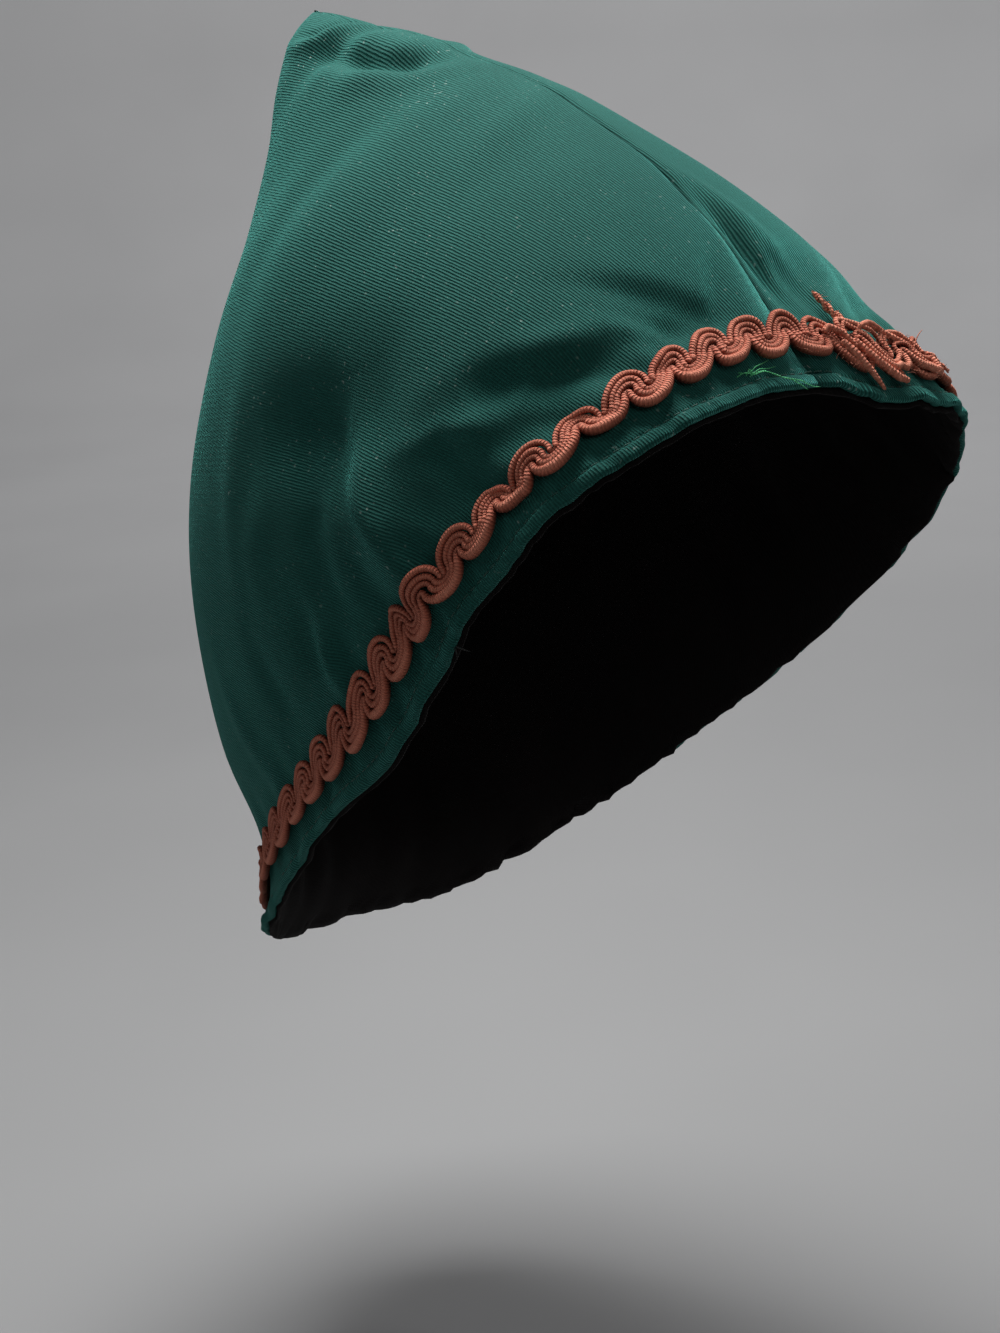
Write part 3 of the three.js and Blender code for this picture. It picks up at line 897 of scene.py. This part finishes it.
def gimp_finish():
    """Rust-coloured yarn wrapped round a core. The wraps show as fine ribs. Each cord has a painted
    highlight on its crest and painted shade down its sides where it meets the next, and cords that lie proud
    are painted lighter than sunk ones. Frayed yarn is pale, and the lower scallops carry a painted
    highlight."""
    finish = Finish("gimp")
    flat = finish.add("ShaderNodeTexCoord", {}, {}, "UV")
    place = finish.add("ShaderNodeTexCoord", {}, {}, "Object")
    proud = finish.add("ShaderNodeAttribute", {"attribute_name": "proud"}, {}, "Fac")
    round_it = finish.add("ShaderNodeSeparateXYZ", {}, {0: flat}, "X")
    crest = (round_it * (2 * np.pi)).math("COSINE")
    # Above 1 the attribute marks frayed yarn and the painted highlight on the lower scallops.
    fray_and_lower_highlight = (proud - 1).clipped()
    # Painted shade down the sides of each cord, where it meets the next.
    groove_shade = ((0.72 - crest) * 1.3).clipped() * (1 - fray_and_lower_highlight * 1.5).clipped()
    wobble = (finish.noise(place, 700.0, 2.0) - 0.5) * 5.0
    wraps = finish.stripes(flat, (wrap_pitch, 1, 0), wrap_pitch, wobble)
    fuzz = finish.noise(place, 1900.0, 3.0, 0.65)
    # Cords that lie proud are painted lighter and sunk ones darker, as painted light and shade.
    tone = (proud * 0.45 + wraps * 0.42 + fuzz * 0.5 - 0.3).clipped()
    colour = finish.mix(tone, (0.17, 0.024, 0.014, 1), (0.68, 0.19, 0.115, 1))
    # Painted highlight along the crest of each cord.
    crest_highlight = (crest * 4 - 3).clipped() * 0.45
    # Pale where there is the painted crest highlight, frayed yarn, or the painted highlight on the lower
    # scallops.
    pale = (fray_and_lower_highlight + crest_highlight).clipped() * (fuzz * 0.9 + 0.35)
    colour = finish.mix(pale, colour, (1.0, 0.4, 0.27, 1))
    drift = finish.noise(place, 70.0, 2.0)
    colour = finish.mix((drift * 1.6 - 0.5).clipped() * 0.3, colour, (0.5, 0.115, 0.07, 1))
    # The painted shade between the cords goes on last.
    colour = finish.mix(groove_shade * 0.85, colour, (0.06, 0.007, 0.003, 1))
    return finish.close(
        colour, wraps + fuzz * 0.8, 0.00035, Roughness=0.8, Sheen_Weight=0.12, Sheen_Roughness=0.4,
        Sheen_Tint=(1.0, 0.5, 0.35, 1), Specular_IOR_Level=0.2,
    )


gimp = gimp_finish()


def braid_middle(turn):
    return np.interp((turn + 1) % 2 - 1, braid_places[:, 0], braid_places[:, 1] / 1000)


braid_turns = lap_turn + np.linspace(0, 2, braid_stops)
braid_line = on_cloth(braid_turns, braid_middle(braid_turns), np.zeros(braid_stops))[0]
braid_way = way_along(braid_line)
braid_around = braid_way[-1]


def braid_turn(length):
    """The turn that lies this far along the braid from the middle of its lap."""
    return np.interp(length % braid_around, braid_way, braid_turns)


def scroll_path(cord, scrolls):
    """Along and across of one cord in pitches and half widths, and how proud it lies."""
    half = np.pi * np.arange(points_per_arc) / points_per_arc
    level = np.sin(half)
    last = len(cord_spans) - 1
    over = (last - cord) / last
    hump = -cord_spans[cord] * np.cos(half)
    dip = 0.5 - cord_spans[last - cord] * np.cos(half)
    along = np.arange(scrolls)[:, None] + np.concatenate([hump, dip])
    across = np.concatenate([cord_heights[cord] * level, -cord_heights[last - cord] * level])
    proud = np.concatenate([0.5 + (over - 0.5) * level, 0.5 + (0.5 - over) * level])
    return along.ravel(), np.tile(across, scrolls), np.tile(proud, scrolls)


def uneven(draw, where, step):
    """Hand-made unevenness: a random value every step, and smooth between."""
    stops = np.arange(where.min() - step, where.max() + 2 * step, step)
    return np.interp(where, stops, draw.standard_normal(len(stops)))


def gimp_cords(start, length, rest, skew, mess, seed):
    """The four cords of a stretch of gimp. They lie flatter at the lap, and mess shakes them,
    most at the start, and frays their yarn."""
    draw = np.random.default_rng(seed)
    scrolls = max(1, round(length / scroll_pitch))
    pitch = length / scrolls
    bm = bmesh.new()
    layer = bm.verts.layers.float.new("proud")
    half_height = braid_width / 2 - cord_radius
    even = np.linspace(0, 1, 101)
    pull = np.interp(braid_turn(start + even * length) % 2, pull_places, pull_amounts)
    stretched = np.concatenate([[0], np.cumsum(pull[1:])]) / pull[1:].sum()
    stops = np.arange(scrolls + 2) - 0.5
    scroll_heights = 1 + scroll_height_spread * draw.standard_normal(scrolls + 2)
    scroll_shifts = scroll_shift_spread * draw.standard_normal(scrolls + 2)
    for cord in range(len(cord_spans)):
        along, across, proud = scroll_path(cord, scrolls)
        shake = mess * (1.2 - along / scrolls)
        up = across * half_height * np.interp(along, stops, scroll_heights)
        up += shake * shake_up * uneven(draw, along, 0.23)
        forward = (along + 0.5 + np.interp(along, stops, scroll_shifts)) * pitch
        forward += scroll_lean * up + shake * shake_along * uneven(draw, along, 0.19)
        forward = np.interp(forward / length, even, stretched) * length
        forward = np.clip(forward, end_margin, length - end_margin)
        to_lap = np.minimum(start + forward, braid_around - start - forward)
        flat = 1 - lap_flatness * np.exp(-((to_lap / lap_flat_reach) ** 4))
        thick = 1 + proud * np.where(across < 0, 0.3, -0.12) + 0.05 * uneven(draw, along, 0.3)
        radii = cord_radius * (inner_share + (1 - inner_share) * proud) * thick * flat
        turns = braid_turn(start + forward)
        insets = braid_middle(turns) + up + skew * (1 - forward / length)
        lift = rest + radii + proud_lift * proud + shake * shake_out * uneven(draw, along, 0.27)
        points, normals = on_cloth(turns, insets, lift)
        radii[[0, -1]] *= 0.25
        count = len(bm.verts)
        add_strand(bm, points, normals, radii, cord_sides)
        bm.verts.ensure_lookup_table()
        # The stored value holds how proud the cord lies, raised on the lower scallops as a painted
        # highlight, and by mess for frayed yarn.
        proud_fray_and_highlight = proud * np.where(across < 0, 1.25, 1) + 0.6 * mess
        for i, vertex in enumerate(bm.verts[count:]):
            vertex[layer] = proud_fray_and_highlight[i // (cord_sides + 1)]
    return bm


def loose_strand(bm, places, radii, plies=1, ply_pitch=0.004, sides=7, proud=1.6):
    """A strand through places given as turn, inset and lift in mm, twisted from its plies.
    Strands with only three sides are fibres, which need few points."""
    places = np.array(places, dtype=float)
    knots = np.linspace(0, 1, len(places))
    share = np.linspace(0, 1, (3 if sides == 3 else 10) * len(places))
    smooth = [np.interp(share, knots, column) for column in places.T]
    for column in smooth * smoothing_rounds:
        column[1:-1] = (column[:-2] + 2 * column[1:-1] + column[2:]) / 4
    points, normals = on_cloth(smooth[0], smooth[1] / 1000, smooth[2] / 1000)
    radius = np.interp(share, np.linspace(0, 1, len(radii)), radii) / 1000
    away = radius[:, None] * (0 if plies == 1 else 1.05)
    radius[[0, -1]] *= 0.3
    up, side = strand_sides(points, normals)
    layer = bm.verts.layers.float.get("proud") or bm.verts.layers.float.new("proud")
    for ply in range(plies):
        angle = 2 * np.pi * (ply / plies + way_along(points) / ply_pitch)[:, None]
        outward = up * np.cos(angle) + side * np.sin(angle)
        count = len(bm.verts)
        add_strand(bm, points + outward * away, outward, radius, sides)
        bm.verts.ensure_lookup_table()
        for vertex in bm.verts[count:]:
            vertex[layer] = proud


def add_fuzz(bm, turns, insets, lift, count, length, seed):
    """Short stray fibres, count of them, over a patch of the gimp."""
    draw = np.random.default_rng(seed)
    for _ in range(count):
        turn = draw.uniform(*turns)
        inset = draw.uniform(*insets)
        lean = draw.normal(0, 0.5, 2) * length
        height = abs(draw.normal(0.7, 0.4)) * length
        places = [
            (turn, inset, lift),
            (turn + lean[0] * 0.0018, inset + lean[1] * 0.6, lift + height * 0.7),
            (turn + lean[0] * 0.005, inset + lean[1] * 1.3, lift + height),
        ]
        loose_strand(bm, places, (0.07, 0.05), sides=3, proud=2.0)


bm = gimp_cords(braid_end_gap, braid_around - 2 * braid_end_gap, braid_gap, skew=0, mess=0, seed=11)
gimp_scrolls = add_piece("gimp_cords", bm, gimp)
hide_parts("gimp_braid")

# Lap of the gimp
# The last 34 mm of the gimp is sewn flat over its start, left of the crown seam. Its raw end
# has come undone, so its scrolls are flat and fuzzy, and a tapering strand hangs from it.

lap_rest = 0.0024
lap_skew = 0.0015
bm = gimp_cords(-lap_length / 2, lap_length, lap_rest, lap_skew, mess=1, seed=23)
for radii, places in (
    # radii in mm, then turn, inset and lift in mm along the strand
    ((1.15, 1.2, 0.95, 0.5), [(0.02, 13.5, 3.2), (0.0225, 10.5, 3.6), (0.025, 6.5, 3.2), (0.029, 2.2, 2.2)]),
    ((0.8, 0.95, 0.9, 0.7), [(0.012, 15.5, 3.0), (0.018, 17, 3.6), (0.024, 15.6, 3.8), (0.028, 12, 3.6)]),
    ((0.9, 1.1, 1.15, 0.8), [(0.03, 14.0, 3.6), (0.036, 9.0, 4.0), (0.046, 5.5, 3.8), (0.058, 3.6, 3.4)]),
    ((0.8, 1.0, 1.0, 0.8), [(0.045, 17.5, 3.4), (0.06, 19.2, 3.6), (0.08, 18.8, 3.6), (0.105, 15, 3.4)]),
    ((0.3, 0.22, 0.1), [(0.109, 13.0, 3.8), (0.12, 15.0, 5.0), (0.134, 17.5, 7.0)]),
):
    loose_strand(bm, places, radii)
add_fuzz(bm, (0.0, 0.12), (5, 18), lift=3.4, count=220, length=1.6, seed=31)
gimp_lap = add_piece("gimp_lap", bm, gimp)
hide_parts("braid_lap")

# Frayed ends of the gimp
# Two raw ends that stick out of the lap: one twisted stiff and pointing up, and one short
# stub on the wearer's left.

bm = bmesh.new()
places = [
    (0.044, 18.2, 2.6), (0.0425, 21, 1.8), (0.0415, 24.5, 1.8), (0.0415, 27.5, 2.2), (0.042, 30.6, 2.8),
]
loose_strand(bm, places, (0.62, 0.66, 0.6, 0.5, 0.34), plies=2, ply_pitch=0.0075)
add_fuzz(bm, (0.039, 0.045), (19, 30), lift=2.4, count=26, length=1.2, seed=37)
end_upper = add_piece("gimp_end_upper", bm, gimp)
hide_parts("frayed_end_upper")

bm = bmesh.new()
places = [(0.13, 12.6, 3.8), (0.15, 12.4, 4.0), (0.17, 11.8, 4.2), (0.185, 10.6, 4.6)]
loose_strand(bm, places, (0.6, 0.62, 0.5, 0.3), plies=2, ply_pitch=0.007)
add_fuzz(bm, (0.13, 0.18), (11, 13), lift=4.2, count=18, length=1.2, seed=41)
end_lower = add_piece("gimp_end_lower", bm, gimp)
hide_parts("frayed_end_lower")

# Loose threads
# Bright green sewing thread left uncut under the braid, and a dark thread end at the edge.

bright_thread = thread_finish("bright_thread", (0.04, 0.36, 0.1, 1), (0.12, 0.8, 0.34, 1), 0.2)
bm = bmesh.new()
for places in (
    [(-0.046, 7.2, 0.6), (-0.04, 7.6, 1.0), (-0.033, 7.2, 1.2), (-0.022, 8.2, 1.2), (-0.014, 9.4, 0.9)],
    [(-0.043, 8.4, 0.6), (-0.036, 7.0, 1.2), (-0.026, 6.4, 1.4), (-0.012, 6.8, 1.0)],
    [(-0.034, 7.2, 1.0), (-0.022, 5.2, 1.6), (-0.01, 2.2, 2.0), (-0.004, -1.6, 1.8)],
    [(-0.034, 7.0, 1.0), (-0.02, 4.6, 1.8), (-0.007, 0.8, 2.6), (-0.001, -1.4, 2.4)],
    [(-0.037, 6.6, 0.8), (-0.033, 8.2, 1.4), (-0.03, 6.4, 1.4), (-0.034, 6.0, 0.8)],
):
    loose_strand(bm, places, (0.15, 0.17, 0.12), sides=5)
green_ends = add_piece("green_thread_ends", bm, bright_thread)

dark_thread = thread_finish("dark_thread", (0.004, 0.005, 0.005, 1), (0.02, 0.022, 0.02, 1), 0.05)
bm = bmesh.new()
for radii, places in (
    ((0.3, 0.26, 0.14), [(-0.489, 1.2, -0.6), (-0.487, -1.2, -0.2), (-0.484, -4.6, 0.6)]),
    ((0.22, 0.2, 0.12), [(-0.489, 1.0, -0.6), (-0.4885, -1.0, 0.2), (-0.489, -3.0, 1.6)]),
):
    loose_strand(bm, places, radii, sides=5)
dark_end = add_piece("dark_thread_end", bm, dark_thread)

# Floor and light
# A plain pale floor below the hood, which floats as worn. The floor sweeps up into a plain
# backdrop all round, and soft studio light comes from above.

floor_level = -0.42
floor_steps = 72
inside = Vector((0, 0, 1.5))
sweep = [
    # away from the middle, up
    (0, 0), (2.2, 0), (2.5, 0.03), (2.8, 0.13), (3.0, 0.3), (3.12, 0.55), (3.15, 0.9), (3.15, 2.6),
]
bm = bmesh.new()
spots = [bm.verts.new((away, 0, floor_level + up)) for away, up in sweep]
lines = [bm.edges.new(pair) for pair in zip(spots, spots[1:])]
turned = {"cent": (0, 0, 0), "axis": (0, 0, 1), "angle": 2 * np.pi, "steps": floor_steps}
bmesh.ops.spin(bm, geom=spots + lines, use_merge=True, **turned)
bmesh.ops.remove_doubles(bm, verts=bm.verts, dist=1e-5)
for face in bm.faces:
    face.smooth = True
    face.normal_update()
    if face.normal.dot(face.calc_center_median() - inside) > 0:
        face.normal_flip()
floor_mesh = bpy.data.meshes.new("floor")
bm.to_mesh(floor_mesh)
bm.free()
floor = bpy.data.objects.new("floor", floor_mesh)
bpy.context.scene.collection.objects.link(floor)
floor_finish = Finish("floor")
grain = floor_finish.noise(floor_finish.add("ShaderNodeTexCoord", {}, {}, "Object"), 4.0)
floor_colour = floor_finish.mix(grain, (0.3, 0.3, 0.305, 1), (0.34, 0.34, 0.345, 1))
floor_mesh.materials.append(floor_finish.close(floor_colour, grain, 0.0005, Roughness=0.85))
floor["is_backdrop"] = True


def soft_light(name, place, aim, size, power, tint):
    """A square softbox that faces the place given as aim."""
    data = bpy.data.lights.new(name, "AREA")
    data.size = size
    data.energy = power
    data.color = tint
    light = bpy.data.objects.new(name, data)
    light.rotation_euler = (Vector(aim) - Vector(place)).to_track_quat("-Z", "Y").to_euler()
    light.location = place
    bpy.context.scene.collection.objects.link(light)


hood_middle = (0.0, 0.02, -0.12)
soft_light("key", (0.1, 0.14, 0.55), hood_middle, 0.36, 8.4, (1.0, 1.0, 0.99))
soft_light("left", (-0.85, 0.35, 0.5), hood_middle, 0.5, 0.9, (0.97, 0.99, 1.0))
soft_light("front", (-0.35, -1.0, 0.55), hood_middle, 0.5, 1.5, (1.0, 0.99, 0.97))
soft_light("backdrop", (1.1, 1.0, 1.9), (2.5, 1.9, 0.3), 1.2, 60, (1.0, 1.0, 1.0))

world = bpy.data.worlds.new("world")
world.use_nodes = True
sky = world.node_tree.nodes["Background"].inputs
sky["Color"].default_value = (0.5, 0.5, 0.51, 1)
sky["Strength"].default_value = 0.13
bpy.context.scene.world = world
bpy.context.scene.view_settings.view_transform = "Standard"

look_low, look_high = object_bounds()
sizes = {"cad": [list(cad_low), list(cad_high)], "visual": [list(look_low), list(look_high)]}
